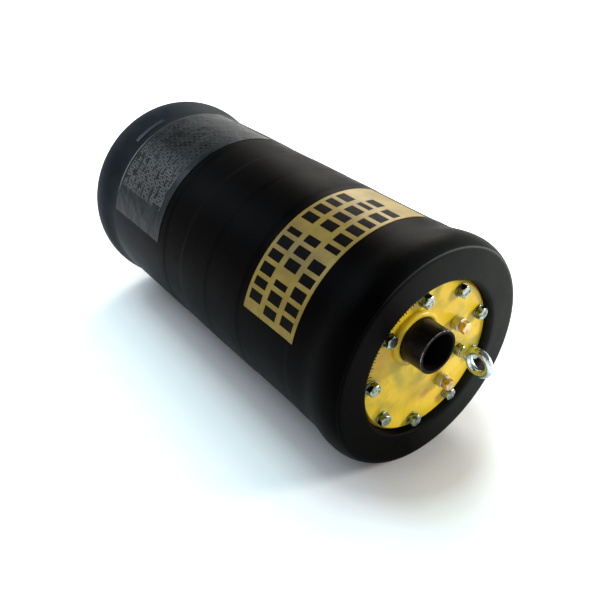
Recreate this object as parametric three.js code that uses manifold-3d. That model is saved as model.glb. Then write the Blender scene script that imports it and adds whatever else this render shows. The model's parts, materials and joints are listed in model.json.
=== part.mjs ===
// Inflatable pipe plug with a bypass pipe, for pipes of 12 to 16 in bore, lying on its side.
// Millimetres, +Z up. X runs along the plug and points out of the end that carries the fittings.
// The origin is on the floor, under the middle of the overall length.
// "Depth" is measured into the plug from a rubber end face, "height" outwards from an end plate.

import * as THREE from 'three';
import { mergeVertices } from 'three/addons/utils/BufferGeometryUtils.js';
import Module from 'manifold-3d';

const wasm = await Module();
wasm.setup();

// Rubber bladder: a tube with a thick rounded ring at each end, moulded in one piece.
const bladderLength = 541;
const barrelRadius = 129.3;
const barrelWall = 10;
const nearRingRise = 4.2;
const farRingRise = 5.7;
const ringCrestDepth = 22;
const ringFootDepth = 60;
const nearShoulder = 11.5;
const farShoulder = 8;
const restFlat = 1;

// Mouth in each end face, where the end plate sits on the rubber flange.
const plateRecess = 8;
const lipRadius = 5;
const flangeThickness = 8;
const innerCorner = 20;

// End plates and the clamp rings behind them.
const plateRadius = 89.8;
const plateThickness = 10;
const plateChamfer = 3;
const clampRingThickness = 8;
const clampRingInset = 1;

// Rim bolts: nine hexagon bolts with plain washers in each end.
const boltCount = 9;
const boltInset = 11.6;
const boltPhase = 29.4;
const boltDiameter = 8;
const boltHeadAcross = 13;
const boltHeadHeight = 6.3;
const boltTail = 2.4;
const washerDiameter = 16;
const washerThickness = 1.6;

// Bypass pipe: 1 1/2 in steel pipe from end to end, off the centre line.
// Its collar lies as far out as the washers beside it allow.
const pipeDiameter = 48.3;
const pipeWall = 3.7;
const pipeAngle = -32.5;
const pipeBoreGap = 1.5;
const nearPipeHeight = 32.3;
const farPipeHeight = 11.3;
const pipeEdgeChamfer = 1;
const collarWidth = 6.5;
const collarHeight = 6;
const collarRound = 4;
const collarWasherGap = 0.6;

// Air ports in the near plate: a zinc boss with a brass plug in each.
const portAngles = [52.7, 149];
const portCircleRadius = 47.5;
const bossDiameter = 16;
const bossHeight = 9;
const bossSpigotDiameter = 13.2;
const bossBore = 9.7;
const portPlugAcross = 12;
const portPlugHeight = 7.5;
const portPlugTail = 8;

// Lifting eye on the near plate, held by a nut.
const eyeAngle = 103.5;
const eyeCircleRadius = 49;
const eyeRingRadius = 14.1;
const eyeStockRadius = 4.1;
const eyeHeight = 30.2;
const eyeTwist = -4;
const eyeShankDiameter = 8;
const eyeNeckDiameter = 12;
const eyeTail = 6;
const eyeNutAcross = 13;
const eyeNutHeight = 8;

// Labels on the barrel, and a small bare tag strip on the slope of the far ring.
const filmThickness = 0.4;
const goldFromFoot = 14;
const goldWidth = 86;
const goldFrom = -75;
const goldTo = 23;
const greyFromFoot = 5;
const greyWidth = 123;
const greyFrom = -78.5;
const greyTo = 22;
const tagFarDepth = 46;
const tagWidth = 6;
const tagThickness = 0.8;
const tagFrom = -36;
const tagTo = -15;

// Fits: round parts in their holes, and flat faces on their seats.
const fitGap = 0.3;
const seatGap = 0.05;

// Sides on round shapes, from the bladder down to a bolt hole.
const roundSteps = 48;
const pipeSteps = 28;
const smallSteps = 14;
const holeSteps = 10;
const axisHeight = barrelRadius + nearRingRise - restFlat;
const plateBack = plateRecess + plateThickness;
const flangeFront = plateBack + seatGap;
const flangeBack = flangeFront + flangeThickness;
const clampFront = flangeBack + seatGap;
const clampBack = clampFront + clampRingThickness;
const recessRadius = plateRadius + fitGap;
const boltCircleRadius = plateRadius - boltInset;
const collarRadius = pipeDiameter / 2 + fitGap + collarWidth;
const pipeOffset = pipeOffsetBesideWashers();
const flangeBore = pipeOffset + pipeDiameter / 2 + pipeBoreGap;

const materials = {
  rubber: { color: 0x1b1d1e, roughness: 0.72, metalness: 0 },
  yellowPlate: { color: 0xd9b53a, roughness: 0.42, metalness: 0.3 },
  zinc: { color: 0xc9ccca, roughness: 0.3, metalness: 0.9 },
  brass: { color: 0xc98a4b, roughness: 0.35, metalness: 0.9 },
  blackSteel: { color: 0x2b2625, roughness: 0.5, metalness: 0.6 },
  goldFilm: { color: 0xc3a95a, roughness: 0.45, metalness: 0.2 },
  greyFilm: { color: 0x6c7472, roughness: 0.3, metalness: 0 },
};

function radians(degrees) {
  return (degrees * Math.PI) / 180;
}

// How far from the centre the pipe can lie before its collar meets the nearest washer.
function pipeOffsetBesideWashers() {
  const pitch = 360 / boltCount;
  const past = (((pipeAngle - boltPhase) % pitch) + pitch) % pitch;
  const nearest = radians(Math.min(past, pitch - past));
  const apart = collarRadius + washerDiameter / 2 + collarWasherGap;
  const across = boltCircleRadius * Math.sin(nearest);
  return boltCircleRadius * Math.cos(nearest) - Math.sqrt(Math.max(0, apart ** 2 - across ** 2));
}

// Leaves only position and index, with shared vertices and no collapsed triangles.
function weld(geometry) {
  geometry.deleteAttribute('normal');
  geometry.deleteAttribute('uv');
  const merged = mergeVertices(geometry, 1e-4);
  const from = merged.index.array;
  const kept = [];
  for (let i = 0; i < from.length; i += 3) {
    const [a, b, c] = [from[i], from[i + 1], from[i + 2]];
    if (a !== b && b !== c && c !== a) kept.push(a, b, c);
  }
  merged.setIndex(kept);
  return merged;
}

function toSolid(geometry) {
  const welded = weld(geometry);
  const vertProperties = new Float32Array(welded.attributes.position.array);
  const triVerts = new Uint32Array(welded.index.array);
  return new wasm.Manifold(new wasm.Mesh({ numProp: 3, vertProperties, triVerts }));
}

function toGeometry(solid) {
  const mesh = solid.getMesh();
  const geometry = new THREE.BufferGeometry();
  geometry.setAttribute('position', new THREE.BufferAttribute(mesh.vertProperties, 3));
  geometry.setIndex(new THREE.BufferAttribute(mesh.triVerts, 1));
  return geometry;
}

function cut(geometry, tools) {
  let solid = toSolid(geometry);
  for (const tool of tools) solid = solid.subtract(toSolid(tool));
  return toGeometry(solid);
}

function join(geometries) {
  let solid = toSolid(geometries[0]);
  for (const more of geometries.slice(1)) solid = solid.add(toSolid(more));
  return toGeometry(solid);
}

// A turned shape about the X axis, from [radius, x] points in the order outside up, inside down.
function turned(outline, steps) {
  const points = outline.map(([radius, x]) => new THREE.Vector2(radius, x));
  points.push(points[0].clone());
  return new THREE.LatheGeometry(points, steps).rotateZ(-Math.PI / 2);
}

// A plain tube or a solid rod along X.
function tube(outerRadius, innerRadius, x0, x1, steps) {
  const outline = [[innerRadius, x0], [outerRadius, x0], [outerRadius, x1], [innerRadius, x1]];
  return turned(outline, steps);
}

function rod(radius, x0, x1, steps) {
  return tube(radius, 0, x0, x1, steps);
}

function hexagon(across, x0, x1) {
  return rod(across / Math.sqrt(3), x0, x1, 6);
}

// A place at a distance from the axis, with its angle from straight up towards +Y.
function polar(radius, degrees, x = 0) {
  const angle = radians(degrees);
  return new THREE.Vector3(x, radius * Math.sin(angle), radius * Math.cos(angle));
}

function at(geometry, place) {
  return geometry.translate(place.x, place.y, place.z);
}

function piece(name, geometry, look, parent, place) {
  const material = new THREE.MeshStandardMaterial({ ...materials[look], flatShading: true });
  const mesh = new THREE.Mesh(geometry.index ? geometry : weld(geometry), material);
  mesh.name = name;
  if (place) mesh.position.copy(place);
  parent.add(mesh);
  return mesh;
}

function boltPlaces(turn) {
  const places = [];
  for (let i = 0; i < boltCount; i += 1) {
    places.push(polar(boltCircleRadius, turn * (boltPhase + (360 / boltCount) * i)));
  }
  return places;
}

// One end of the bladder's outside, from the barrel over the ring to the plate's seat and flange.
// Points are [radius, depth], from the barrel inwards.
function endOutline(rise, shoulder) {
  const crest = barrelRadius + rise;
  const lipX = recessRadius + lipRadius;
  const path = new THREE.Path();
  path.moveTo(barrelRadius, ringFootDepth);
  const fall = (ringFootDepth - ringCrestDepth) / 2;
  path.bezierCurveTo(
    barrelRadius, ringFootDepth - fall,
    crest, ringCrestDepth + fall * 0.8,
    crest, ringCrestDepth,
  );
  path.bezierCurveTo(
    crest, ringCrestDepth * 0.55,
    crest - shoulder * 0.35, 0,
    crest - shoulder, 0,
  );
  path.lineTo(lipX, 0);
  path.quadraticCurveTo(recessRadius, 0, recessRadius, lipRadius);
  path.lineTo(recessRadius, flangeFront);
  path.lineTo(flangeBore, flangeFront);
  path.lineTo(flangeBore, flangeBack);
  const innerWall = barrelRadius - barrelWall;
  path.lineTo(innerWall - innerCorner, flangeBack);
  path.quadraticCurveTo(innerWall, flangeBack, innerWall, flangeBack + innerCorner);
  return path.getPoints(5).map((point) => [point.x, point.y]);
}

function bladder() {
  const near = endOutline(nearRingRise, nearShoulder).map(([radius, depth]) => [radius, -depth]);
  const far = endOutline(farRingRise, farShoulder).map(([radius, depth]) => [radius, depth - bladderLength]);
  const body = turned([...near, ...far.reverse()], roundSteps);
  const tools = [];
  for (const place of boltPlaces(1)) {
    const hole = boltDiameter / 2 + fitGap;
    for (const [x0, x1] of [[-flangeBack - 1, -flangeFront + 1], [flangeFront - 1, flangeBack + 1]]) {
      const start = x0 < 0 ? x0 : x0 - bladderLength;
      const end = x0 < 0 ? x1 : x1 - bladderLength;
      tools.push(at(rod(hole, start, end, holeSteps), place));
    }
  }
  const below = new THREE.BoxGeometry(bladderLength * 2, barrelRadius * 4, barrelRadius);
  tools.push(below.translate(0, 0, -axisHeight - barrelRadius / 2));
  return cut(body, tools);
}

// A plate in its end's own frame: the rubber end face is x = 0 and +X points out.
function endPlate(turn, smallHoles) {
  const front = -plateRecess;
  const disc = turned([
    [0, -plateBack],
    [plateRadius, -plateBack],
    [plateRadius, front - plateChamfer],
    [plateRadius - plateChamfer, front],
    [0, front],
  ], roundSteps);
  const through = [-plateBack - 1, front + 1];
  const tools = boltPlaces(turn).map((place) => at(rod(boltDiameter / 2 + fitGap, ...through, holeSteps), place));
  const pipeHole = rod(pipeDiameter / 2 + fitGap, ...through, pipeSteps);
  tools.push(at(pipeHole, polar(pipeOffset, turn * pipeAngle)));
  for (const [radius, place] of smallHoles) tools.push(at(rod(radius, ...through, smallSteps), place));
  return cut(disc, tools);
}

function clampRing(turn) {
  const ring = tube(plateRadius - clampRingInset, flangeBore, -clampBack, -clampFront, roundSteps);
  const hole = boltDiameter / 2 + fitGap;
  return cut(ring, boltPlaces(turn).map((place) => at(rod(hole, -clampBack - 1, -clampFront + 1, holeSteps), place)));
}

// The bolt's seat under its head is x = 0.
function rimBolt() {
  const reach = washerThickness + plateThickness + flangeThickness + clampRingThickness + boltTail;
  return join([
    hexagon(boltHeadAcross, 0, boltHeadHeight),
    rod(boltDiameter / 2, -reach, boltHeadHeight / 2, smallSteps),
  ]);
}

function washer() {
  return tube(washerDiameter / 2, boltDiameter / 2 + fitGap, 0, washerThickness, smallSteps);
}

function bypassPipe() {
  const outer = pipeDiameter / 2;
  const inner = outer - pipeWall;
  const x1 = nearPipeHeight - plateRecess;
  const x0 = -bladderLength - (farPipeHeight - plateRecess);
  const outline = [
    [inner, x0],
    [outer - pipeEdgeChamfer, x0],
    [outer, x0 + pipeEdgeChamfer],
    [outer, x1 - pipeEdgeChamfer],
    [outer - pipeEdgeChamfer, x1],
    [inner, x1],
  ];
  return turned(outline, pipeSteps);
}

// The collar's seat on the plate is x = 0.
function pipeCollar() {
  const inner = pipeDiameter / 2 + fitGap;
  const outer = collarRadius;
  const path = new THREE.Path();
  path.moveTo(inner, 0);
  path.lineTo(outer, 0);
  path.lineTo(outer, collarHeight - collarRound);
  path.quadraticCurveTo(outer, collarHeight, outer - collarRound, collarHeight);
  path.lineTo(inner, collarHeight);
  return turned(path.getPoints(3).map((point) => [point.x, point.y]), pipeSteps);
}

// The boss's seat on the plate is x = 0, with its spigot in the plate's hole.
function portBoss() {
  const outline = [
    [bossBore / 2, -plateThickness],
    [bossSpigotDiameter / 2, -plateThickness],
    [bossSpigotDiameter / 2, 0],
    [bossDiameter / 2, 0],
    [bossDiameter / 2, bossHeight - 1],
    [bossDiameter / 2 - 1, bossHeight],
    [bossBore / 2, bossHeight],
  ];
  return turned(outline, smallSteps);
}

function portPlug() {
  const shank = bossBore / 2 - fitGap;
  return join([
    hexagon(portPlugAcross, 0, portPlugHeight),
    rod(shank, -portPlugTail, portPlugHeight / 2, smallSteps),
  ]);
}

// The eye's ring is centred on x = 0, and its shank runs back through the nut and the plate.
function liftingEye() {
  const ring = new THREE.TorusGeometry(eyeRingRadius, eyeStockRadius, 8, 24).rotateX(Math.PI / 2);
  const neckEnd = -eyeRingRadius;
  const neckStart = -eyeHeight + eyeNutHeight + 2 * seatGap;
  const shankStart = -eyeHeight - plateThickness - eyeTail;
  return join([
    ring,
    rod(eyeNeckDiameter / 2, neckStart, neckEnd, smallSteps),
    rod(eyeShankDiameter / 2, shankStart, neckEnd, smallSteps),
  ]);
}

function eyeNut() {
  const nut = hexagon(eyeNutAcross, 0, eyeNutHeight);
  return cut(nut, [rod(eyeShankDiameter / 2 + fitGap, -1, eyeNutHeight + 1, smallSteps)]);
}

// The outside radius of an end ring at a depth behind its face, between its crest and its foot.
function ringRadiusAt(depth, rise, shoulder) {
  const points = endOutline(rise, shoulder);
  const next = points.findIndex((point) => point[1] <= depth);
  const [r0, d0] = points[Math.max(next - 1, 0)];
  const [r1, d1] = points[next];
  return d0 === d1 ? r1 : r0 + ((r1 - r0) * (d0 - depth)) / (d0 - d1);
}

// A film bent round the X axis between two angles, with one edge at x and its width towards +X.
function bentFilm(inner, thickness, from, to, x, width) {
  const steps = Math.max(4, Math.ceil((to - from) / 5));
  const arc = (radius, i) => {
    const angle = radians(from + ((to - from) * i) / steps);
    return new THREE.Vector2(-radius * Math.cos(angle), radius * Math.sin(angle));
  };
  const points = [];
  for (let i = 0; i <= steps; i += 1) points.push(arc(inner + thickness, i));
  for (let i = steps; i >= 0; i -= 1) points.push(arc(inner, i));
  const shape = new THREE.Shape(points);
  const band = new THREE.ExtrudeGeometry(shape, { depth: width, bevelEnabled: false, steps: 1 });
  return weld(band.rotateY(Math.PI / 2).translate(x, 0, 0));
}

function addEnd(side, turn, parent, smallHoles) {
  const plateFace = -plateRecess;
  piece(`${side}_end_plate`, endPlate(turn, smallHoles), 'yellowPlate', parent);
  piece(`${side}_clamp_ring`, clampRing(turn), 'blackSteel', parent);
  const pipePlace = polar(pipeOffset, turn * pipeAngle, plateFace + seatGap);
  piece(`${side}_pipe_collar`, weld(pipeCollar()), 'yellowPlate', parent, pipePlace);
  boltPlaces(turn).forEach((place, i) => {
    const washerPlace = place.clone().setX(plateFace + seatGap);
    piece(`${side}_washer_${i + 1}`, weld(washer()), 'zinc', parent, washerPlace);
    const boltPlace = place.clone().setX(plateFace + washerThickness + 2 * seatGap);
    piece(`${side}_bolt_${i + 1}`, rimBolt(), 'zinc', parent, boltPlace);
  });
}

function addPorts(parent) {
  portAngles.forEach((angle, i) => {
    const bossPlace = polar(portCircleRadius, angle, -plateRecess + seatGap);
    const plugPlace = polar(portCircleRadius, angle, -plateRecess + bossHeight + 2 * seatGap);
    piece(`air_port_boss_${i + 1}`, weld(portBoss()), 'zinc', parent, bossPlace);
    piece(`air_port_plug_${i + 1}`, portPlug(), 'brass', parent, plugPlace);
  });
}

function addEye(parent) {
  const eyePlace = polar(eyeCircleRadius, eyeAngle, eyeHeight - plateRecess);
  const eye = piece('lifting_eye', liftingEye(), 'zinc', parent, eyePlace);
  eye.rotation.x = radians(-eyeTwist);
  const nutPlace = polar(eyeCircleRadius, eyeAngle, -plateRecess + seatGap);
  piece('lifting_eye_nut', eyeNut(), 'zinc', parent, nutPlace);
}

function addLabels(parent) {
  const onBarrel = barrelRadius + fitGap;
  const goldX = -ringFootDepth - goldFromFoot - goldWidth;
  const gold = bentFilm(onBarrel, filmThickness, goldFrom, goldTo, goldX, goldWidth);
  piece('gold_label', gold, 'goldFilm', parent);
  const greyX = -bladderLength + ringFootDepth + greyFromFoot;
  const grey = bentFilm(onBarrel, filmThickness, greyFrom, greyTo, greyX, greyWidth);
  piece('grey_label', grey, 'greyFilm', parent);
  const onSlope = ringRadiusAt(tagFarDepth, farRingRise, farShoulder) + fitGap;
  const tag = bentFilm(onSlope, tagThickness, tagFrom, tagTo, tagFarDepth - bladderLength, tagWidth);
  piece('tag_strip', tag, 'greyFilm', parent);
}

const plug = new THREE.Group();
piece('bladder', bladder(), 'rubber', plug);
piece('bypass_pipe', weld(bypassPipe()), 'blackSteel', plug, polar(pipeOffset, pipeAngle));

const nearHoles = [];
for (const angle of portAngles) {
  nearHoles.push([bossSpigotDiameter / 2 + fitGap, polar(portCircleRadius, angle)]);
}
nearHoles.push([eyeShankDiameter / 2 + fitGap, polar(eyeCircleRadius, eyeAngle)]);
const nearEnd = new THREE.Group();
addEnd('near', 1, nearEnd, nearHoles);
addPorts(nearEnd);
addEye(nearEnd);
plug.add(nearEnd);

const farEnd = new THREE.Group();
addEnd('far', -1, farEnd, []);
farEnd.position.x = -bladderLength;
farEnd.rotation.z = Math.PI;
plug.add(farEnd);

addLabels(plug);

// Stands the plug on its flats, with the origin under the middle of its length.
const reach = new THREE.Box3().setFromObject(plug);
plug.position.set(-(reach.min.x + reach.max.x) / 2, 0, axisHeight);

const model = new THREE.Group();
model.add(plug);

export default model;
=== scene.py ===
import json
import math

import bmesh
import bpy
from mathutils import Matrix, Vector, noise

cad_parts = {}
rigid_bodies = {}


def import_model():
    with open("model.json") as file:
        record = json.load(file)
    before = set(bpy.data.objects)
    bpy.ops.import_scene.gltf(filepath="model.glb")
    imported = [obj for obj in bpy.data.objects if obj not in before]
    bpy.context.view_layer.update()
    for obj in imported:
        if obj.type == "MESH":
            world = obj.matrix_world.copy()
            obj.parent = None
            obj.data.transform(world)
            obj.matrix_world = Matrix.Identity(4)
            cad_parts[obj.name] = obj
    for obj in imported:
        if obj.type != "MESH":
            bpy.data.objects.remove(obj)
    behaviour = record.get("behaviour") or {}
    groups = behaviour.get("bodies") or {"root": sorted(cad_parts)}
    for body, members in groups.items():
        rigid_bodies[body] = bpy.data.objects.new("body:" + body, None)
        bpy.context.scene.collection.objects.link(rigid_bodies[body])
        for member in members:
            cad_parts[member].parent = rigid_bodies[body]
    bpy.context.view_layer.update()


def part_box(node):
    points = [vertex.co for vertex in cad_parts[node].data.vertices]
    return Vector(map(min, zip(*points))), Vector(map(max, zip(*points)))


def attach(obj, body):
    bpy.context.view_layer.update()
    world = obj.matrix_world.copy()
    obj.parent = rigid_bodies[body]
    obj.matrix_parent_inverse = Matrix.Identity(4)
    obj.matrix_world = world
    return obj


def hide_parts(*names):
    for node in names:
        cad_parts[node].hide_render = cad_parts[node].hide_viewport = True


print("Inflatable pipe plug: loading the frame")
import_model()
mm = 0.001
scene = bpy.context.scene
scene.view_settings.view_transform = "Standard"

# The camera stands above the near end and looks down along the barrel. Its place is in mm.
camera = {
    "place": (611.0, -443.1, 574.0),
    "right": (0.60390, 0.79706, 0.0),
    "up": (-0.43994, 0.33332, 0.83388),
    "lens": 41.18,
    "sensor": 36.0,
}


def makeCamera():
    right = Vector(camera["right"]).normalized()
    up = Vector(camera["up"]).normalized()
    back = right.cross(up).normalized()
    up = back.cross(right)
    turn = Matrix((right, up, back)).transposed()
    lensData = bpy.data.cameras.new("photo_camera")
    lensData.lens = camera["lens"]
    lensData.sensor_width = camera["sensor"]
    lensData.clip_start = 0.01
    stand = bpy.data.objects.new("photo_camera", lensData)
    stand.matrix_world = Matrix.Translation(Vector(camera["place"]) * mm) @ turn.to_4x4()
    scene.collection.objects.link(stand)
    scene.camera = stand


makeCamera()


def toLinear(hexColour):
    channels = [int(hexColour[i:i + 2], 16) / 255 for i in (1, 3, 5)]
    linear = [c / 12.92 if c <= 0.04045 else ((c + 0.055) / 1.055) ** 2.4 for c in channels]
    return (*linear, 1.0)


def addNode(tree, kind, links=None, **settings):
    node = tree.nodes.new(kind)
    for name, value in settings.items():
        setattr(node, name, value)
    for key, value in (links or {}).items():
        if isinstance(value, bpy.types.NodeSocket):
            tree.links.new(value, node.inputs[key])
        else:
            node.inputs[key].default_value = value
    return node


def addRamp(tree, factor, stops):
    # Each stop is a place and a hex colour or a plain value.
    ramp = addNode(tree, "ShaderNodeValToRGB", {"Fac": factor})
    while len(ramp.color_ramp.elements) < len(stops):
        ramp.color_ramp.elements.new(0.5)
    for element, (position, value) in zip(ramp.color_ramp.elements, stops):
        element.position = position
        element.color = toLinear(value) if isinstance(value, str) else (value, value, value, 1.0)
    return ramp.outputs["Color"]


def addNoise(tree, place, featureMm, detail, **more):
    # Noise whose features are about so many millimetres across.
    links = {"Vector": place, "Scale": 1000.0 / featureMm, "Detail": detail, **more}
    return addNode(tree, "ShaderNodeTexNoise", links).outputs["Fac"]


def stretch(tree, place, scale):
    return addNode(tree, "ShaderNodeMapping", {"Vector": place, "Scale": scale}).outputs["Vector"]


def addMath(tree, operation, *values, **settings):
    links = dict(enumerate(values))
    return addNode(tree, "ShaderNodeMath", links, operation=operation, **settings).outputs[0]


def addRange(tree, value, start, end, low=0.0, high=1.0):
    links = {"Value": value, "From Min": start, "From Max": end, "To Min": low, "To Max": high}
    return addNode(tree, "ShaderNodeMapRange", links).outputs[0]


def addVectorMath(tree, operation, output, *values):
    links = dict(enumerate(values))
    return addNode(tree, "ShaderNodeVectorMath", links, operation=operation).outputs[output]


def mixColours(tree, factor, first, second):
    # The mix node's two colours are its inputs 6 and 7, and the mixed colour is its output 2.
    links = {"Factor": factor, 6: first, 7: second}
    return addNode(tree, "ShaderNodeMix", links, data_type="RGBA").outputs[2]


def seenDirectly(tree):
    # 1 for what the camera, a mirror or glass sees, 0 for what only lights the scene.
    rays = addNode(tree, "ShaderNodeLightPath").outputs
    seen = addMath(tree, "MAXIMUM", rays["Is Camera Ray"], rays["Is Glossy Ray"])
    return addMath(tree, "MAXIMUM", seen, rays["Is Transmission Ray"])


def newMaterial(name, **shaderSettings):
    material = bpy.data.materials.new(name)
    material.use_nodes = True
    tree = material.node_tree
    shader = tree.nodes["Principled BSDF"]
    for key, value in shaderSettings.items():
        socket = key.replace("_", " ").title().replace("Ior", "IOR")
        shader.inputs[socket].default_value = value
    place = addNode(tree, "ShaderNodeTexCoord").outputs["Object"]
    return material, tree, shader, place


def finishMaterial(tree, shader, colour, rough=None, height=None, strength=0.2, depthMm=0.3):
    tree.links.new(colour, shader.inputs["Base Color"])
    if rough is not None:
        tree.links.new(rough, shader.inputs["Roughness"])
    if height is not None:
        bump = addNode(tree, "ShaderNodeBump",
                       {"Height": height, "Strength": strength, "Distance": depthMm * mm})
        tree.links.new(bump.outputs["Normal"], shader.inputs["Normal"])


def wrapCuredRubber():
    # Black rubber cured under a cloth wrap: almost black, with a soft grey sheen at low angles.
    # The far ring and the far end of the barrel are lighter and bluer, partly from a bloom of wax and
    # partly as a painted sheen of the cool back light; the near face is a painted sheen, lighter on its +y
    # side.
    material, tree, shader, place = newMaterial("Wrap-cured black rubber", ior=1.52, roughness=0.42,
                                                specular_ior_level=0.014)
    dust = addNoise(tree, place, 60, 6.0, Roughness=0.6)
    grain = addNoise(tree, place, 2.2, 4.0, Roughness=0.65)
    # Wrap bands run round the barrel: the noise is stretched round it, so it varies mainly along x.
    bands = addNoise(tree, stretch(tree, place, (1.0, 0.06, 0.06)), 14, 3.0)
    along = addNode(tree, "ShaderNodeSeparateXYZ", {0: place}).outputs["X"]
    # Partly painted sheen: the far end grows lighter and bluer, as well as from wax bloom.
    farBloomAndSheen = addRange(tree, along, -0.10, -0.285, 0.0, 0.65)
    # The near face is painted lighter towards its +y side, a painted sheen; its other side stays black.
    across = addVectorMath(tree, "DOT_PRODUCT", "Value", place, (0, 0.966, 0.26))
    paintedLitSide = addRange(tree, across, -0.016, 0.155)
    nearFace = addRange(tree, along, 0.225, 0.250)
    nearPaintedSheen = addMath(tree, "MULTIPLY", nearFace, paintedLitSide)
    bloomAndPaintedSheen = addMath(tree, "MAXIMUM", farBloomAndSheen, nearPaintedSheen)
    plain = addRamp(tree, dust, [(0.30, "#020202"), (0.55, "#040404"), (0.80, "#080808")])
    blue = addRamp(tree, dust, [(0.30, "#30383E"), (0.70, "#4A545C")])
    grey = addRamp(tree, dust, [(0.30, "#2B2F2E"), (0.70, "#3A3E3D")])
    # The colour of the bloom and of the painted sheen: bluer at the far end, grey on the near face.
    waxedAndLitColour = mixColours(tree, addMath(tree, "GREATER_THAN", along, 0.0), blue, grey)
    colour = mixColours(tree, bloomAndPaintedSheen, plain, waxedAndLitColour)
    # The parting line on the near shoulder is painted paler, a painted highlight along its ridge, only
    # where the face is painted lit.
    seam = addRange(tree, along, 0.2496, 0.2512)
    seam = addRamp(tree, seam, [(0.0, 0.0), (0.5, 0.8), (1.0, 0.0)])
    fromAxis = addVectorMath(tree, "MULTIPLY_ADD", 0, place, (0, 1, 1), (0, 0, -0.1325))
    reach = addVectorMath(tree, "LENGTH", "Value", fromAxis)
    outer = addMath(tree, "GREATER_THAN", reach, 0.110)
    paintedRidgeHighlight = addMath(tree, "MULTIPLY", addMath(tree, "MULTIPLY", seam, paintedLitSide), outer)
    # Painted highlight: the parting line's ridge is mixed towards pale grey.
    colour = mixColours(tree, paintedRidgeHighlight, colour, toLinear("#868D8A"))
    sheen = addRamp(tree, dust, [(0.25, 0.36), (0.75, 0.50)])
    height = addMath(tree, "MULTIPLY_ADD", bands, 0.55, grain)
    finishMaterial(tree, shader, colour, sheen, height, 0.3, 0.6)
    return material


def yellowPowderCoat():
    # Powder-coated steel: deep warm yellow with a light orange peel, clouded olive where it is rubbed
    # and dirty, and orange where the coat is thick.
    material, tree, shader, place = newMaterial("Yellow powder-coated steel", ior=1.50, roughness=0.34,
                                                specular_ior_level=0.3)
    peel = addNoise(tree, place, 3.0, 2.0)
    cloud = addNoise(tree, place, 48, 3.0, Distortion=0.6)
    grime = addNoise(tree, place, 16, 6.0, Roughness=0.62)
    coat = addRamp(tree, cloud,
                   [(0.30, "#B4A62C"), (0.46, "#EAC824"), (0.60, "#FAD62C"), (0.76, "#F2B428")])
    dirt = addRamp(tree, grime, [(0.26, 0.35), (0.40, 0.0)])
    colour = mixColours(tree, dirt, coat, toLinear("#6E6A2A"))
    gloss = addRamp(tree, grime, [(0.30, 0.46), (0.60, 0.28)])
    finishMaterial(tree, shader, colour, gloss, peel, 0.25, 0.4)
    return material


def brightZinc(name, tints):
    # Zinc-plated steel, clear passivated: a little blue and straw, with fine scratches.
    material, tree, shader, place = newMaterial(name, metallic=1.0, roughness=0.2)
    tint = addNoise(tree, place, 5, 3.0, Distortion=0.8)
    scratch = addNoise(tree, place, 1.2, 5.0, Roughness=0.7)
    rough = addRamp(tree, scratch, [(0.30, 0.12), (0.70, 0.28)])
    finishMaterial(tree, shader, addRamp(tree, tint, tints), rough, scratch, 0.18, 0.2)
    return material


def dullZinc():
    # Dull plated steel of the port bosses and of the hidden clamp rings: pale grey with a soft bloom.
    material, tree, shader, place = newMaterial("Dull zinc-plated steel", metallic=1.0, roughness=0.42)
    bloomAndPaintedSheen = addNoise(tree, place, 12, 5.0)
    colour = addRamp(tree, bloomAndPaintedSheen, [(0.30, "#ABAFA6"), (0.70, "#D0D0C2")])
    finishMaterial(tree, shader, colour, addRamp(tree, bloomAndPaintedSheen, [(0.30, 0.50), (0.70, 0.34)]))
    return material


def turnedBrass():
    # Turned brass, browned by handling: tan with duller patches.
    material, tree, shader, place = newMaterial("Turned brass, tarnished", metallic=1.0, roughness=0.30)
    tarnish = addNoise(tree, place, 6, 5.0, Roughness=0.6)
    colour = addRamp(tree, tarnish, [(0.30, "#8C7350"), (0.52, "#C4A87E"), (0.75, "#DCC6A2")])
    rough = addRamp(tree, tarnish, [(0.30, 0.45), (0.65, 0.24)])
    finishMaterial(tree, shader, colour, rough, tarnish, 0.2, 0.2)
    return material


def millScaleSteel():
    # Black mill-scale steel tube under a thin varnish: brown-black and satin, faintly streaked lengthways.
    material, tree, shader, place = newMaterial("Varnished mill-scale steel", ior=1.50, roughness=0.30,
                                                specular_ior_level=0.3)
    streak = addNoise(tree, stretch(tree, place, (0.12, 1.0, 1.0)), 4, 4.0)
    patch = addNoise(tree, place, 16, 4.0)
    colour = addRamp(tree, patch, [(0.30, "#0A0807"), (0.55, "#120D0C"), (0.80, "#1E1614")])
    finishMaterial(tree, shader, colour, addRamp(tree, streak, [(0.30, 0.24), (0.70, 0.42)]), streak)
    return material


def rubbedSteelEdge():
    # The pipe's corner, rubbed through the scale to grey steel.
    material, tree, shader, place = newMaterial("Rubbed steel edge", metallic=1.0, roughness=0.38)
    nick = addNoise(tree, place, 2.5, 4.0)
    colour = addRamp(tree, nick, [(0.38, "#3A322E"), (0.62, "#8E857E")])
    finishMaterial(tree, shader, colour, addRamp(tree, nick, [(0.30, 0.50), (0.70, 0.32)]))
    return material


def mattMillScale():
    # Unvarnished scale in the pipe's bore and on its cut end: matt and black.
    material, tree, shader, place = newMaterial("Matt mill scale", ior=1.50, roughness=0.7,
                                                specular_ior_level=0.08)
    scale = addNoise(tree, place, 6, 5.0)
    finishMaterial(tree, shader, addRamp(tree, scale, [(0.30, "#040303"), (0.70, "#0E0B09")]), height=scale)
    return material


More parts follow.
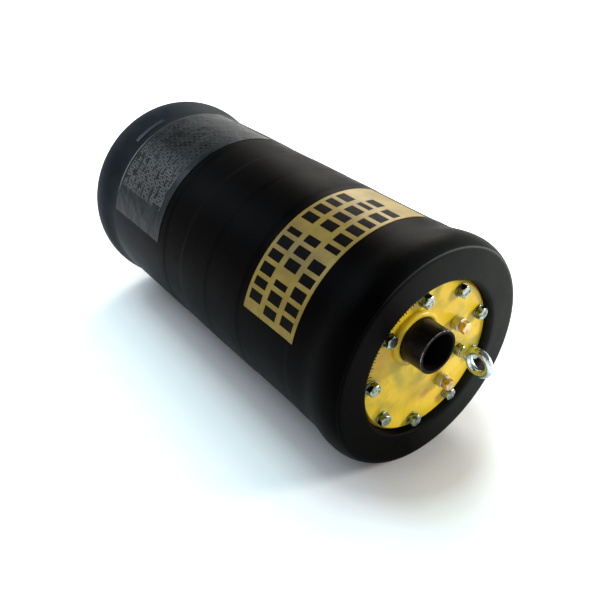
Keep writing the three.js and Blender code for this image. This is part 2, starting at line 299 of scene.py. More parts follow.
def goldVinylFilm():
    # Satin gold vinyl film: a fine metallic grain under a dull face.
    material, tree, shader, place = newMaterial("Satin gold vinyl film", ior=1.46, roughness=0.45,
                                                specular_ior_level=0.25)
    grain = addNoise(tree, place, 2.0, 3.0)
    cloud = addNoise(tree, place, 30, 3.0)
    gold = addRamp(tree, cloud, [(0.30, "#988436"), (0.55, "#B49B44"), (0.78, "#C6AE56")])
    finishMaterial(tree, shader, gold, addRamp(tree, grain, [(0.30, 0.36), (0.70, 0.52)]), grain, 0.1)
    return material


def blackPrintInk():
    # Screen-printed black ink on the film: flat, a little thin in places.
    material, tree, shader, place = newMaterial("Screen-printed black ink", ior=1.50, roughness=0.55,
                                                specular_ior_level=0.04)
    thin = addNoise(tree, place, 5, 4.0)
    colour = addRamp(tree, thin, [(0.35, "#020202"), (0.75, "#0A0906")])
    finishMaterial(tree, shader, colour, addRamp(tree, thin, [(0.30, 0.45), (0.70, 0.62)]))
    return material


def smokeGreyFilm():
    # Glossy smoke-grey film with small raised print: generic rows of blocks, with painted highlights on
    # their edges.
    material, tree, shader, place = newMaterial("Glossy smoke-grey laminate film", ior=1.49, roughness=0.25,
                                                specular_ior_level=0.07)
    sheet = addNode(tree, "ShaderNodeUVMap", uv_map="sheet").outputs["UV"]
    cloud = addNoise(tree, place, 24, 4.0)
    ripple = addNoise(tree, place, 18, 1.0)

    def inkRows(gap):
        # One brick is one block of print. The sheet's coordinates are in mm.
        return addNode(tree, "ShaderNodeTexBrick",
                       {"Vector": sheet, "Scale": 1.0, "Color1": (1, 1, 1, 1), "Color2": (1, 1, 1, 1),
                        "Mortar": (0, 0, 0, 1), "Mortar Size": gap / 2, "Mortar Smooth": 0.2,
                        "Brick Width": greyFilm["blockLength"], "Row Height": greyFilm["rowPitch"]},
                       offset=0.43, offset_frequency=2).outputs["Color"]

    blocks = inkRows(greyFilm["inkGap"])
    core = inkRows(greyFilm["inkGap"] + greyFilm["shineWidth"])
    # A stretched noise leaves gaps between groups of blocks, and the film's margins stay blank.
    spread = (1 / greyFilm["groupLength"], 1 / greyFilm["rowPitch"], 1.0)
    groups = addNoise(tree, stretch(tree, sheet, spread), 1000.0, 0.0)
    raised = addMath(tree, "MULTIPLY", addMath(tree, "GREATER_THAN", groups, 0.40), blocks)
    apart = addNode(tree, "ShaderNodeSeparateXYZ", {0: sheet}).outputs
    for axis, low, high in greyFilm["printed"]:
        for operation, limit in (("GREATER_THAN", low), ("LESS_THAN", high)):
            raised = addMath(tree, "MULTIPLY", raised, addMath(tree, operation, apart[axis], limit))
    base = addRamp(tree, cloud, [(0.30, "#1A2225"), (0.70, "#2B3539")])
    colour = mixColours(tree, raised, base, toLinear("#030404"))
    # On part of the film the raised edges of the blocks, and the film's far edge, are painted pale: painted
    # highlights where they would catch the light.
    outline = addMath(tree, "SUBTRACT", raised, core, use_clamp=True)
    rim = addMath(tree, "LESS_THAN", apart["Y"], greyFilm["shineWidth"])
    glintBand = addRange(tree, apart["X"], 0.0, greyFilm["length"])
    glintBand = addRamp(tree, glintBand, [(0.10, 0.0), (0.19, 0.75), (0.36, 0.75), (0.52, 0.08)])
    paintedGlint = addMath(tree, "MULTIPLY", addMath(tree, "MAXIMUM", outline, rim), glintBand)
    # Painted highlight: the glint band is mixed towards pale grey.
    colour = mixColours(tree, paintedGlint, colour, toLinear("#C6CECA"))
    rough = addRamp(tree, cloud, [(0.30, 0.20), (0.70, 0.34)])
    height = addMath(tree, "MULTIPLY_ADD", ripple, 2.0, raised)
    finishMaterial(tree, shader, colour, rough, height, 0.9, 0.6)
    return material


def paleTagFilm():
    # Satin film of the small strip on the far ring, a little paler than the rubber.
    material, tree, shader, place = newMaterial("Pale satin tag film", ior=1.46, roughness=0.45,
                                                specular_ior_level=0.1)
    wear = addNoise(tree, place, 4, 4.0)
    colour = addRamp(tree, wear, [(0.30, "#3A4248"), (0.70, "#4E575E")])
    finishMaterial(tree, shader, colour, addRamp(tree, wear, [(0.30, 0.30), (0.70, 0.46)]))
    return material


def finishMesh(name, points, faces, material, sharpAngle=35.0):
    mesh = bpy.data.meshes.new(name)
    mesh.from_pydata([Vector(p) * mm for p in points], [], faces)
    shell = bmesh.new()
    shell.from_mesh(mesh)
    bmesh.ops.remove_doubles(shell, verts=shell.verts, dist=1e-7)
    bmesh.ops.recalc_face_normals(shell, faces=shell.faces)
    shell.to_mesh(mesh)
    shell.free()
    mesh.shade_smooth()
    mesh.set_sharp_from_angle(angle=math.radians(sharpAngle))
    mesh.materials.append(material)
    piece = bpy.data.objects.new(name, mesh)
    scene.collection.objects.link(piece)
    return piece


def standFor(piece, slotName, *nodes):
    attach(piece, "root")
    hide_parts(*nodes)


def bezier(start, first, second, end, steps):
    points = []
    for i in range(1, steps + 1):
        t = i / steps
        u = 1 - t
        points.append(tuple(u ** 3 * a + 3 * u * u * t * b + 3 * u * t * t * c + t ** 3 * d
                            for a, b, c, d in zip(start, first, second, end)))
    return points


def turnedShape(profile, centre, steps, closed=True):
    # The profile is a list of (x, radius); the shape is turned about a line along x through the centre.
    points = []
    faces = []
    for x, radius in profile:
        for k in range(steps):
            angle = 2 * math.pi * k / steps
            points.append((x, centre[0] + radius * math.sin(angle), centre[1] + radius * math.cos(angle)))
    count = len(profile)
    for i in range(count if closed else count - 1):
        j = (i + 1) % count
        for k in range(steps):
            m = (k + 1) % steps
            faces.append((i * steps + k, i * steps + m, j * steps + m, j * steps + k))
    return points, faces


def rounded(corners, radius, steps=4):
    # Each corner of the closed outline is cut by a short arc.
    outline = []
    count = len(corners)
    for i in range(count):
        here = Vector(corners[i])
        before = Vector(corners[i - 1]) - here
        after = Vector(corners[(i + 1) % count]) - here
        cut = min(radius, before.length * 0.45, after.length * 0.45)
        start = here + before.normalized() * cut
        end = here + after.normalized() * cut
        for s in range(steps + 1):
            t = s / steps
            outline.append(tuple(start * (1 - t) ** 2 + here * 2 * t * (1 - t) + end * t * t))
    return outline


# Metal parts stand this far apart where one is seated on another, in mm.
seatGap = 0.05


def nodeBox(name):
    low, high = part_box(name)
    return low * 1000, high * 1000


bladder = {
    "axisHeight": 132.5,
    "nearFace": 251.95,
    "farFace": -289.05,
    "barrelRadius": 129.3,
    "nearRise": 4.2,
    "farRise": 5.7,
    "crestDepth": 22.0,
    "footDepth": 60.0,
    "nearShoulder": 11.5,
    "farShoulder": 8.0,
    "recessRadius": 90.1,
    "lip": 5.0,
    "flangeFront": 18.05,
    "flangeBack": 26.05,
    "flangeBore": 68.8,
    "innerRadius": 119.3,
    "steps": 264,
    "ridgeRadius": 126.5,
    "ridgeHeight": 0.45,
    "bandFade": (50.0, 30.0),
    # Edges of the wrap layers on the barrel: place along x, step in mm, slant in mm over one turn.
    "wrapEdges": [(176.0, -0.45, 5.0), (78.0, 0.5, -4.0), (20.0, 0.35, 6.0), (-38.0, -0.4, 5.0),
                  (-92.0, 0.5, -6.0), (-226.0, -0.35, 3.0)],
    "edgeWidth": 3.0,
    "wander": 1.2,
    "wave": 0.35,
    "stations": 150,
}


def smoothStep(value, width):
    t = max(0.0, min(1.0, value / width + 0.5))
    return t * t * (3 - 2 * t)


def skinOffset(x, angle):
    # Unevenness of the cured barrel, in mm, fading out on the end rings.
    nearDepth = bladder["nearFace"] - x
    farDepth = x - bladder["farFace"]
    start, width = bladder["bandFade"]
    fade = smoothStep(min(nearDepth, farDepth) - start, width)
    layers = 0.0
    for place, step, slant in bladder["wrapEdges"]:
        wander = noise.noise(Vector((math.sin(angle) * 2, math.cos(angle) * 2, place)))
        edge = place + slant * math.sin(angle) + bladder["wander"] * wander
        layers += step * (smoothStep(edge - x, bladder["edgeWidth"]) - 0.5)
    spot = Vector((x / 70, math.sin(angle) * 1.6, math.cos(angle) * 1.6))
    return fade * (layers + bladder["wave"] * noise.noise(spot))


def endProfile(rise, shoulder):
    # One end, as (radius, depth) from the barrel over the ring and down to the bolting flange.
    crest = bladder["barrelRadius"] + rise
    foot = bladder["footDepth"]
    top = bladder["crestDepth"]
    fall = (foot - top) / 2
    mouth = bladder["recessRadius"]
    lip = bladder["lip"]
    points = [(bladder["barrelRadius"], foot)]
    points += bezier(points[-1], (bladder["barrelRadius"], foot - fall), (crest, top + fall * 0.8),
                     (crest, top), 14)
    points += bezier(points[-1], (crest, top * 0.55), (crest - shoulder * 0.35, 0),
                     (crest - shoulder, 0), 36)
    points += [(mouth + lip + (crest - shoulder - mouth - lip) * (1 - t / 8), 0) for t in range(1, 9)]
    points += bezier(points[-1], (mouth + lip * 0.4, 0), (mouth, lip * 0.4), (mouth, lip), 8)
    points += [(mouth, bladder["flangeFront"]), (bladder["flangeBore"], bladder["flangeFront"]),
               (bladder["flangeBore"], bladder["flangeBack"]),
               (bladder["innerRadius"] - 20, bladder["flangeBack"])]
    points += bezier(points[-1], (bladder["innerRadius"] - 8, bladder["flangeBack"]),
                     (bladder["innerRadius"], bladder["flangeBack"] + 8),
                     (bladder["innerRadius"], bladder["flangeBack"] + 20), 5)
    return points


def makeBladder():
    near = [(bladder["nearFace"] - depth, radius) for radius, depth in
            endProfile(bladder["nearRise"], bladder["nearShoulder"])]
    far = [(bladder["farFace"] + depth, radius) for radius, depth in
           endProfile(bladder["farRise"], bladder["farShoulder"])]
    barrelStart = far[0][0]
    barrelEnd = near[0][0]
    stations = bladder["stations"]
    barrel = [(barrelStart + (barrelEnd - barrelStart) * i / stations, bladder["barrelRadius"])
              for i in range(1, stations)]
    # The mould's parting line: one thin raised ridge on the shoulder of the near ring.
    shoulder = range(near.index(max(near, key=lambda p: p[1])), len(near))
    ridge = min(shoulder, key=lambda i: abs(near[i][1] - bladder["ridgeRadius"]))
    x, radius = near[ridge]
    near[ridge] = (x + bladder["ridgeHeight"] * 0.75, radius + bladder["ridgeHeight"])
    profile = near + list(reversed(far)) + barrel
    points, faces = turnedShape(profile, (0.0, bladder["axisHeight"]), bladder["steps"])
    shaped = []
    outside = bladder["barrelRadius"] - 1
    for index, (x, y, z) in enumerate(points):
        radius = profile[index // bladder["steps"]][1]
        if radius > outside:
            angle = math.atan2(y, z - bladder["axisHeight"])
            grown = radius + skinOffset(x, angle)
            y = grown * math.sin(angle)
            z = bladder["axisHeight"] + grown * math.cos(angle)
        # The soft rings rest on small flats.
        shaped.append((x, y, max(z, 0.0)))
    piece = finishMesh("bladder_skin", shaped, faces, materials["rubber"], 50)
    standFor(piece, "rubber", "bladder")


goldFilm = {
    "node": "gold_label",
    "from": -75.0,
    "to": 23.0,
    "width": 86.0,
    "length": 221.0,
    "lift": 0.35,
    "thickness": 0.25,
    # Three rows of plain ink blocks. Each row: its two edges across the film, its start, its groups.
    "rows": [
        (5.0, 25.0, 13.0, (6, 4)),
        (33.0, 53.0, 7.0, (3, 3, 5)),
        (61.0, 81.0, 9.0, (5, 6)),
    ],
    "blockWidths": (11.0, 9.5, 12.0, 10.5, 12.0, 7.0, 11.5),
    "blockGap": 5.2,
    "groupGap": 9.0,
}
greyFilm = {
    "node": "grey_label",
    "from": -78.5,
    "to": 22.0,
    "width": 123.0,
    "length": 226.0,
    "lift": 0.3,
    "thickness": 0.2,
    "rowPitch": 6.8,
    "blockLength": 7.4,
    "inkGap": 1.8,
    "shineWidth": 1.5,
    "groupLength": 11.0,
    # Where the print starts and ends, along the film and across it.
    "printed": (("X", 36.0, 220.0), ("Y", 7.0, 111.0)),
}
tagFilm = {
    "node": "tag_strip",
    "from": -36.0,
    "to": -15.0,
    "width": 6.0,
    "length": 49.0,
    "lift": 0.3,
    "thickness": 0.5,
}


def inkBlocks(film):
    # Each block as (start, end) along the film and across it, in mm.
    blocks = []
    count = 0
    for low, high, start, groups in film.get("rows", ()):
        place = start
        for size in groups:
            for _ in range(size):
                wide = film["blockWidths"][count % len(film["blockWidths"])]
                blocks.append((place, place + wide, low, high))
                place += wide + film["blockGap"]
                count += 1
            place += film["groupGap"]
    return blocks


def skinRadius(x, angle):
    for face, sign, rise, shoulder in (
            (bladder["nearFace"], 1, bladder["nearRise"], bladder["nearShoulder"]),
            (bladder["farFace"], -1, bladder["farRise"], bladder["farShoulder"])):
        depth = (face - x) * sign
        if depth < bladder["footDepth"]:
            outline = endProfile(rise, shoulder)
            for (r0, d0), (r1, d1) in zip(outline, outline[1:]):
                if d1 <= depth <= d0:
                    return r0 + (r1 - r0) * (d0 - depth) / (d0 - d1 + 1e-9) + skinOffset(x, angle)
    return bladder["barrelRadius"] + skinOffset(x, angle)


def gridStops(size, step, edges):
    # Even stops, with one at each edge of the print and none close beside it.
    count = max(1, round(size / step))
    stops = {round(size * i / count, 4) for i in range(count + 1)}
    stops = {stop for stop in stops if all(abs(stop - edge) > step * 0.3 for edge in edges)}
    return sorted(stops | {0.0, size} | set(edges))


def makeFilm(name, film, material, slotName, ink=None):
    low, high = nodeBox(film["node"])
    blocks = inkBlocks(film)
    along = gridStops(film["length"], 2.0, [edge for block in blocks for edge in block[:2]])
    across = gridStops(film["width"], 2.0, sorted({edge for block in blocks for edge in block[2:]}))
    points = []
    sheet = []
    for level in (film["lift"] + film["thickness"], 0.05):
        for u in along:
            angle = math.radians(film["from"] + (film["to"] - film["from"]) * u / film["length"])
            for v in across:
                x = low.x + (high.x - low.x) * v / film["width"]
                radius = skinRadius(x, angle) + level
                points.append((x, radius * math.sin(angle),
                               bladder["axisHeight"] + radius * math.cos(angle)))
                sheet.append((u, v))
    row = len(across)
    under = len(along) * row
    faces = []
    for i in range(len(along) - 1):
        for j in range(row - 1):
            a = i * row + j
            faces.append((a, a + 1, a + row + 1, a + row))
            faces.append((under + a, under + a + row, under + a + row + 1, under + a + 1))
    last = len(along) - 1
    rim = ([i * row for i in range(last + 1)] + [last * row + j for j in range(1, row)]
           + [i * row + row - 1 for i in range(last - 1, -1, -1)] + [j for j in range(row - 2, 0, -1)])
    for k, a in enumerate(rim):
        b = rim[(k + 1) % len(rim)]
        faces.append((a, b, under + b, under + a))
    piece = finishMesh(name, points, faces, material, 40)
    layer = piece.data.uv_layers.new(name="sheet")
    for loop in piece.data.loops:
        layer.data[loop.index].uv = sheet[loop.vertex_index]
    if ink:
        piece.data.materials.append(ink)
        for face in piece.data.polygons:
            u = sum(sheet[k][0] for k in face.vertices) / len(face.vertices)
            v = sum(sheet[k][1] for k in face.vertices) / len(face.vertices)
            if max(face.vertices) < under and any(a < u < b and c < v < d for a, b, c, d in blocks):
                face.material_index = 1
    standFor(piece, slotName, film["node"])


plate = {"radius": 89.8, "chamfer": 3.0, "edge": 0.5, "steps": 160, "boltHole": 4.4, "portHole": 6.9,
         "eyeHole": 4.3, "pipeHole": 24.4}


def cutHoles(piece, holes, x0, x1):
    cutter = bmesh.new()
    for (y, z), radius in holes:
        turn = Matrix.Translation(Vector(((x0 + x1) / 2, y, z)) * mm) @ Matrix.Rotation(math.pi / 2, 4, "Y")
        bmesh.ops.create_cone(cutter, cap_ends=True, segments=48, radius1=radius * mm, radius2=radius * mm,
                              depth=(x1 - x0) * mm, matrix=turn)
    mesh = bpy.data.meshes.new("drill")
    cutter.to_mesh(mesh)
    cutter.free()
    drill = bpy.data.objects.new("drill", mesh)
    scene.collection.objects.link(drill)
    modifier = piece.modifiers.new("drill", "BOOLEAN")
    modifier.operation = "DIFFERENCE"
    modifier.object = drill
    modifier.solver = "EXACT"
    drilled = bpy.data.meshes.new_from_object(piece.evaluated_get(bpy.context.evaluated_depsgraph_get()))
    piece.modifiers.clear()
    piece.data = drilled
    bpy.data.objects.remove(drill)
    drilled.shade_smooth()
    drilled.set_sharp_from_angle(angle=math.radians(25))


def centreOf(node):
    low, high = nodeBox(node)
    return ((low.y + high.y) / 2, (low.z + high.z) / 2)


def makePlate(end, outward):
    low, high = nodeBox(end + "_end_plate")
    front, back = (high.x, low.x) if outward > 0 else (low.x, high.x)
    radius = plate["radius"]
    chamfer = plate["chamfer"]
    corners = [(back, 0.01), (back, radius), (front - outward * chamfer, radius), (front, radius - chamfer),
               (front, 0.01)]
    profile = [corners[0]] + rounded(corners, plate["edge"])[5:20] + [corners[4]]
    points, faces = turnedShape(profile, (0.0, bladder["axisHeight"]), plate["steps"], closed=False)
    piece = finishMesh(end + "_plate_coated", points, faces, materials["yellow"], 25)
    closing = bmesh.new()
    closing.from_mesh(piece.data)
    bmesh.ops.holes_fill(closing, edges=closing.edges)
    bmesh.ops.recalc_face_normals(closing, faces=closing.faces)
    closing.to_mesh(piece.data)
    closing.free()
    holes = [(centreOf(end + "_bolt_" + str(i)), plate["boltHole"]) for i in range(1, 10)]
    holes.append((centreOf("bypass_pipe"), plate["pipeHole"]))
    if end == "near":
        holes += [(centreOf("air_port_boss_" + str(i)), plate["portHole"]) for i in (1, 2)]
        holes.append((centreOf("lifting_eye_nut"), plate["eyeHole"]))
    cutHoles(piece, holes, low.x - 5, high.x + 5)
    standFor(piece, "yellow_plate", end + "_end_plate")


fastener = {"across": 13.0, "shank": 7.8, "washerOuter": 16.0, "washerHole": 8.6, "around": 72,
            "twists": [12, 47, 5, 31, 22, 54, 40, 9, 27]}


def hexagonRadius(angle, across):
    sector = math.radians(60)
    offset = (angle % sector) - sector / 2
    return across / 2 / math.cos(offset)


def hexagonShape(across, base, top, shank, tail, centre, outward, twist):
    # A hexagon head or nut with its turned chamfer, and a plain shank below it.
    steps = fastener["around"]
    flat = across / 2 * 0.93
    rings = []
    for k in range(steps):
        angle = 2 * math.pi * k / steps
        edge = hexagonRadius(angle, across)
        drop = max(0.0, edge - flat) * math.tan(math.radians(30))
        rings.append([(tail, shank / 2), (base, shank / 2), (base, edge - 0.3),
                      (base + outward * 0.3, edge), (top - outward * (drop + 0.12), edge),
                      (top - outward * drop * 0.95, edge - 0.14), (top - outward * 0.04, flat + 0.1),
                      (top, flat - 0.25), (top, flat * 0.5), (top, 0.01)])
    points = []
    faces = []
    count = len(rings[0])
    for k, ring in enumerate(rings):
        angle = 2 * math.pi * k / steps + math.radians(twist)
        for x, radius in ring:
            points.append((x, centre[0] + radius * math.sin(angle), centre[1] + radius * math.cos(angle)))
    for k in range(steps):
        m = (k + 1) % steps
        for i in range(count - 1):
            faces.append((k * count + i, k * count + i + 1, m * count + i + 1, m * count + i))
    faces.append(tuple(k * count for k in range(steps)))
    return points, faces


def makeBolts(end, outward):
    for i in range(1, 10):
        name = end + "_bolt_" + str(i)
        low, high = nodeBox(name)
        washer = end + "_washer_" + str(i)
        washerLow, washerHigh = nodeBox(washer)
        top, tail = (high.x, low.x) if outward > 0 else (low.x, high.x)
        seat = (washerHigh.x if outward > 0 else washerLow.x) + outward * seatGap
        centre = centreOf(name)
        twist = fastener["twists"][i - 1] + (0 if outward > 0 else 17)
        points, faces = hexagonShape(fastener["across"], seat, top, fastener["shank"], tail, centre,
                                     outward, twist)
        standFor(finishMesh(name + "_zinc", points, faces, materials["zinc"], 28), "zinc", name)
        inner = fastener["washerHole"] / 2
        outer = fastener["washerOuter"] / 2
        outline = rounded([(washerLow.x, inner), (washerLow.x, outer), (washerHigh.x, outer),
                           (washerHigh.x, inner)], 0.4)
        points, faces = turnedShape(outline, centre, 64)
        standFor(finishMesh(washer + "_zinc", points, faces, materials["zinc"], 35), "zinc", washer)


# A row of plain dark ticks stands near the rim of the near plate, on the side of the pipe.
rimTicks = {
    "from": -93.0,
    "to": -14.0,
    "count": 34,
    "inner": 80.0,
    "outer": 84.0,
    "wide": 1.1,
    "lift": 0.06,
}


boxSides = ((0, 2, 6, 4), (1, 5, 7, 3), (0, 1, 3, 2), (4, 6, 7, 5), (0, 4, 5, 1), (2, 3, 7, 6))


def makeRimTicks():
    face = nodeBox("near_end_plate")[1].x
    points = []
    faces = []
    for i in range(rimTicks["count"]):
        share = i / (rimTicks["count"] - 1)
        middle = math.radians(rimTicks["from"] + (rimTicks["to"] - rimTicks["from"]) * share)
        inner = rimTicks["inner"] + 1.2 * math.sin(i * 2.3)
        half = rimTicks["wide"] * (0.8 + 0.3 * math.sin(i * 1.7)) / 2
        start = len(points)
        for radius in (inner, rimTicks["outer"]):
            for side in (-1, 1):
                angle = middle + side * half / radius
                for x in (face + 0.01, face + rimTicks["lift"]):
                    points.append((x, radius * math.sin(angle),
                                   bladder["axisHeight"] + radius * math.cos(angle)))
        faces += [tuple(start + k for k in side) for side in boxSides]
    piece = finishMesh("rim_ticks", points, faces, materials["ink"], 30)
    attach(piece, "root")


pipe = {"outer": 24.15, "inner": 20.45, "edge": 1.0, "worn": 0.75, "steps": 128}


def makePipe():
    low, high = nodeBox("bypass_pipe")
    outline = rounded([(low.x, pipe["inner"]), (low.x, pipe["outer"]), (high.x, pipe["outer"]),
                       (high.x, pipe["inner"])], pipe["edge"])
    middle = centreOf("bypass_pipe")
    points, faces = turnedShape(outline, middle, pipe["steps"])
    piece = finishMesh("bypass_pipe_steel", points, faces, materials["pipe"], 35)
    piece.data.materials.append(materials["edge"])
    piece.data.materials.append(materials["bore"])
    # The outer corner of each end is rubbed bright; the end face and the bore are sooty.
    for face in piece.data.polygons:
        x, y, z = face.center / mm
        reach = math.hypot(y - middle[0], z - middle[1])
        if reach > pipe["outer"] - pipe["worn"] and min(abs(x - low.x), abs(x - high.x)) < pipe["worn"]:
            face.material_index = 1
        elif reach < pipe["outer"] - pipe["worn"]:
            face.material_index = 2
    standFor(piece, "black_steel", "bypass_pipe")


collar = {"inner": 24.45, "outer": 30.95, "round": 4.0, "steps": 128}


def makeCollar(end, outward):
    low, high = nodeBox(end + "_pipe_collar")
    top, base = (high.x, low.x) if outward > 0 else (low.x, high.x)
    inner = collar["inner"]
    outer = collar["outer"]
    radius = collar["round"]
    outline = [(base, inner), (base, outer), (top - outward * radius, outer)]
    outline += bezier((top - outward * radius, outer), (top - outward * radius * 0.45, outer),
                      (top, outer - radius * 0.55), (top, outer - radius), 8)
    outline += bezier((top, outer - radius), (top, inner + 1.6), (top - outward * 0.3, inner + 0.6),
                      (top - outward * 1.2, inner), 6)
    points, faces = turnedShape(outline, centreOf("bypass_pipe"), collar["steps"])
    standFor(finishMesh(end + "_collar_coated", points, faces, materials["yellow"], 40), "yellow_plate",
             end + "_pipe_collar")


port = {"boss": 16.0, "spigot": 13.2, "plug": 12.0, "thread": 9.4, "round": 0.7}


def makePorts():
    for i in (1, 2):
        bossName = "air_port_boss_" + str(i)
        low, high = nodeBox(bossName)
        face = nodeBox("near_end_plate")[1].x
        centre = centreOf(bossName)
        bore = port["thread"] / 2 + 0.15
        outline = rounded([(low.x, bore), (low.x, port["spigot"] / 2), (face + seatGap, port["spigot"] / 2),
                           (face + seatGap, port["boss"] / 2), (high.x, port["boss"] / 2),
                           (high.x, bore)], port["round"])
        points, faces = turnedShape(outline, centre, 72)
        piece = finishMesh("air_boss_" + str(i) + "_zinc", points, faces, materials["clamp"], 35)
        standFor(piece, "zinc", bossName)
        plugName = "air_port_plug_" + str(i)
        plugLow, plugHigh = nodeBox(plugName)
        points, faces = hexagonShape(port["plug"], high.x + seatGap, plugHigh.x, port["thread"], plugLow.x,
                                     centre, 1, 14 + 23 * i)
        piece = finishMesh("air_plug_" + str(i) + "_brass", points, faces, materials["brass"], 28)
        standFor(piece, "brass", plugName)


eye = {
    "ring": 13.8,
    "stock": 4.4,
    "neck": 6.0,
    "shank": 3.9,
    "twist": -4.0,
    "voxel": 0.45,
    "turns": 72,
    "sides": 28,
    "nutAcross": 13.0,
    "nutBore": 8.4,
}


def makeEye():
    low, high = nodeBox("lifting_eye")
    nutLow, nutHigh = nodeBox("lifting_eye_nut")
    centre = centreOf("lifting_eye_nut")
    ringX = high.x - eye["ring"] - eye["stock"]
    points = []
    faces = []
    turns = eye["turns"]
    sides = eye["sides"]
    twist = math.radians(eye["twist"])
    for i in range(turns):
        a = 2 * math.pi * i / turns
        for j in range(sides):
            b = 2 * math.pi * j / sides
            reach = eye["ring"] + eye["stock"] * math.cos(b)
            x = ringX + reach * math.cos(a)
            w = reach * math.sin(a)
            v = eye["stock"] * math.sin(b)
            points.append((x, centre[0] + v * math.cos(twist) + w * math.sin(twist),
                           centre[1] + w * math.cos(twist) - v * math.sin(twist)))
    for i in range(turns):
        for j in range(sides):
            m = (i + 1) % turns
            n = (j + 1) % sides
            faces.append((i * sides + j, m * sides + j, m * sides + n, i * sides + n))
    start = len(points)
    bottom = ringX - eye["ring"]
    neckOutline = [(low.x, 0.01), (low.x, eye["shank"]), (nutHigh.x + seatGap, eye["shank"]),
                   (nutHigh.x + seatGap, eye["neck"]), (nutHigh.x + 1.4, eye["neck"]),
                   (bottom - 1.5, eye["neck"] - 0.9), (bottom + 1.0, eye["stock"]), (bottom + 1.0, 0.01)]
    neckPoints, neckFaces = turnedShape(neckOutline, centre, 48)
    points += neckPoints
    faces += [tuple(start + index for index in face) for face in neckFaces]
    piece = finishMesh("lifting_eye_forged", points, faces, materials["forging"], 40)
    remesh = piece.modifiers.new("blend", "REMESH")
    remesh.mode = "VOXEL"
    remesh.voxel_size = eye["voxel"] * mm
    remesh.use_smooth_shade = True
    smooth = piece.modifiers.new("forge", "SMOOTH")
    smooth.factor = 0.5
    smooth.iterations = 6
    blended = bpy.data.meshes.new_from_object(piece.evaluated_get(bpy.context.evaluated_depsgraph_get()))
    piece.modifiers.clear()
    piece.data = blended
    blended.shade_smooth()
    if not blended.materials:
        blended.materials.append(materials["forging"])
    standFor(piece, "zinc", "lifting_eye")
    points, faces = hexagonShape(eye["nutAcross"], nutLow.x, nutHigh.x, eye["nutBore"], nutLow.x - 0.01,
                                 centre, 1, 20)
    standFor(finishMesh("eye_nut_zinc", points, faces, materials["zinc"], 28), "zinc", "lifting_eye_nut")


print("Making the materials")
materials = {
    "rubber": wrapCuredRubber(),
    "yellow": yellowPowderCoat(),
    # The same zinc plating in two tints: the bolts' darker, greener tints are painted reflection of dark
    # surroundings, and the eye's lighter tints are painted highlights.
    "zinc": brightZinc("Zinc-plated steel, handled",
                       [(0.34, "#34403B"), (0.46, "#76837D"), (0.58, "#9FA9A4"), (0.72, "#777B63")]),
    "forging": brightZinc("Bright zinc-plated forging",
                          [(0.30, "#8FA5A6"), (0.50, "#CFDCDE"), (0.72, "#C4CDC2")]),
    "brass": turnedBrass(),
    "pipe": millScaleSteel(),
    "edge": rubbedSteelEdge(),
    "bore": mattMillScale(),
    "clamp": dullZinc(),
    "gold": goldVinylFilm(),
    "ink": blackPrintInk(),
    "grey": smokeGreyFilm(),
    "tag": paleTagFilm(),
}

print("Building the bladder and its films")
makeBladder()
makeFilm("gold_film", goldFilm, materials["gold"], "gold_film", materials["ink"])
makeFilm("grey_film", greyFilm, materials["grey"], "grey_film")
makeFilm("tag_film", tagFilm, materials["tag"], "grey_film")

print("Building the ends")
for end, outward in (("near", 1), ("far", -1)):
    makePlate(end, outward)
    makeBolts(end, outward)
    makeCollar(end, outward)
makeRimTicks()
makePipe()
makePorts()
makeEye()

print("Dressing the clamp rings")
for piece in [o for o in bpy.data.objects if o.name.split(".")[0] in ("near_clamp_ring", "far_clamp_ring")]:
    piece.data.materials.clear()
    piece.data.materials.append(materials["clamp"])


# The paper's glow is set over the distance from the plug, 60 to 280 mm from its axis; it is low near the
# plug, a painted shadow.
# Each lamp has its place and aim in metres, its diameter in metres, its watts and its colour.
studio = {
    "floorSize": 12.0,
    "ceiling": 0.14,
    "walls": 0.50,
    "glowOutsidePaintedShadow": [(0.0, 0.0), (0.20, 0.14), (0.30, 0.40), (0.40, 0.60), (0.55, 0.76), (0.85, 1.0)],
    "lamps": {
        "key": ((-1.15, 1.45, 1.35), (0, 0, 0.1), 1.2, 32.0, "#FFF6EA"),
        "coolBack": ((-1.35, -0.75, 1.45), (0, 0, 0.1), 0.9, 11.0, "#DDEBFF"),
        "front": ((1.15, 1.35, 0.62), (0.25, 0, 0.12), 0.45, 22.0, "#FFFAF2"),
    },
}


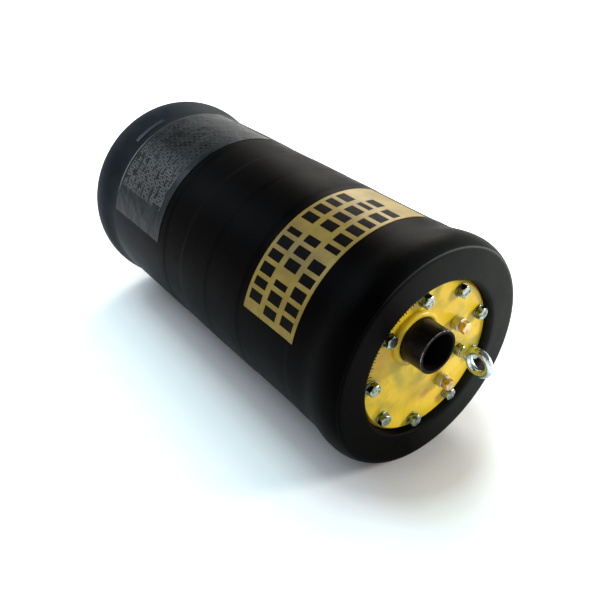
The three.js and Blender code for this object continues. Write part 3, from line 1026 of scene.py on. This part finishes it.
def makeFloor():
    material, tree, shader, place = newMaterial("White seamless paper", roughness=0.9, ior=1.45)
    fibre = addNoise(tree, place, 40, 3.0)
    finishMaterial(tree, shader, addRamp(tree, fibre, [(0.3, "#F4F5F7"), (0.7, "#F8F8F9")]))
    # The paper's glow fades out near the plug, painting a cyan shadow round it, and goes over to plain
    # white beyond it.
    apart = addNode(tree, "ShaderNodeSeparateXYZ", {0: place}).outputs
    beyond = addMath(tree, "SUBTRACT", addMath(tree, "ABSOLUTE", apart["X"]), 0.2)
    beyond = addMath(tree, "MAXIMUM", beyond, 0.0)
    offset = addNode(tree, "ShaderNodeCombineXYZ", {0: beyond, 1: apart["Y"]}).outputs[0]
    reach = addRange(tree, addVectorMath(tree, "LENGTH", "Value", offset), 0.06, 0.28)
    lift = addMath(tree, "MULTIPLY", seenDirectly(tree), addRamp(tree, reach, studio["glowOutsidePaintedShadow"]))
    # Painted shadow tint: the glow is cyan near the plug and white beyond it.
    tint = addRamp(tree, reach, [(0.0, "#E6F2F4"), (0.45, "#DCF4F8"), (0.80, "#E6F8FB"), (1.0, "#FFFFFF")])
    glow = addNode(tree, "ShaderNodeEmission", {"Color": tint, "Strength": lift}).outputs[0]
    both = addNode(tree, "ShaderNodeAddShader", {0: shader.outputs[0], 1: glow}).outputs[0]
    tree.links.new(both, tree.nodes["Material Output"].inputs["Surface"])
    half = studio["floorSize"] / 2
    mesh = bpy.data.meshes.new("paper_floor")
    corners = [(-half, -half, 0), (half, -half, 0), (half, half, 0), (-half, half, 0)]
    mesh.from_pydata(corners, [], [(0, 1, 2, 3)])
    mesh.materials.append(material)
    floor = bpy.data.objects.new("paper_floor", mesh)
    scene.collection.objects.link(floor)


def makeWorld():
    # Pale walls and a darker ceiling light the plug. The camera and the metal see the walls as white.
    world = bpy.data.worlds.new("studio")
    world.use_nodes = True
    scene.world = world
    tree = world.node_tree
    heading = addNode(tree, "ShaderNodeTexCoord").outputs["Generated"]
    rise = addNode(tree, "ShaderNodeSeparateXYZ", {0: heading}).outputs["Z"]
    ceiling = studio["ceiling"]
    walls = studio["walls"]
    room = addRamp(tree, rise, [(0.0, walls), (0.30, walls * 0.95), (0.52, ceiling * 1.3), (1.0, ceiling)])
    shown = addRamp(tree, rise, [(0.0, 1.0), (0.38, 1.0), (0.56, ceiling * 1.3), (1.0, ceiling)])
    colour = mixColours(tree, seenDirectly(tree), room, shown)
    tree.links.new(colour, tree.nodes["Background"].inputs["Color"])
    tree.nodes["Background"].inputs["Strength"].default_value = 1.0


def makeLamp(name, place, aim, size, power, colour):
    data = bpy.data.lights.new(name, "AREA")
    data.shape = "DISK"
    data.size = size
    data.energy = power
    data.color = toLinear(colour)[:3]
    lamp = bpy.data.objects.new(name, data)
    lamp.location = place
    direction = Vector(aim) - Vector(place)
    lamp.rotation_euler = direction.to_track_quat("-Z", "Y").to_euler()
    scene.collection.objects.link(lamp)


print("Setting the studio")
makeFloor()
makeWorld()
for name, settings in studio["lamps"].items():
    makeLamp(name, *settings)

print("Finishing")
